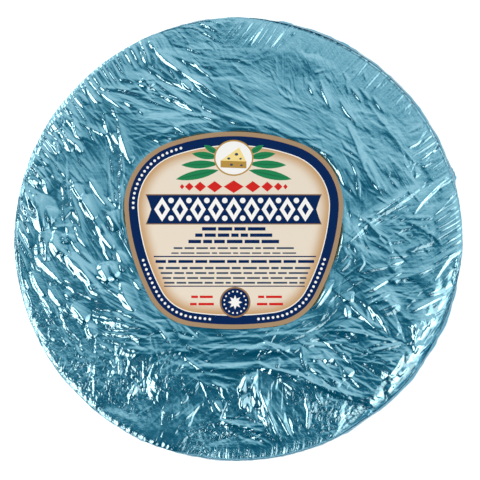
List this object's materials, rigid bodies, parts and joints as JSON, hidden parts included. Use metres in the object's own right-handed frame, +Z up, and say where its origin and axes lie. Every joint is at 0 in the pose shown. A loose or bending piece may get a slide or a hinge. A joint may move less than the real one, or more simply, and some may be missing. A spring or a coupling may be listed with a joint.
{
  "type": "foil-wrapped blue cheese wheel",
  "caption": "Round wheel of blue cheese shut in crumpled blue foil, with a shaped paper label on its top face.",
  "frame": {"origin": "centre of the wheel's footprint, on the surface that it stands on", "axes": "+Z up through the wheel's height, out of the labelled face; +Y towards the top of the label; +X to the label's right"},
  "size_m": [0.2, 0.1985, 0.0874],
  "materials": {
    "blue_foil": "thin aluminium foil lacquered blue and finely crumpled, with a clear glossy film on it",
    "label_paper": "coated label paper, semi-gloss, printed cream with navy and tan borders"
  },
  "bodies": {
    "root": {"foil_wrapped_wheel": "blue_foil", "paper_label": "label_paper"}
  },
  "joints": []
}
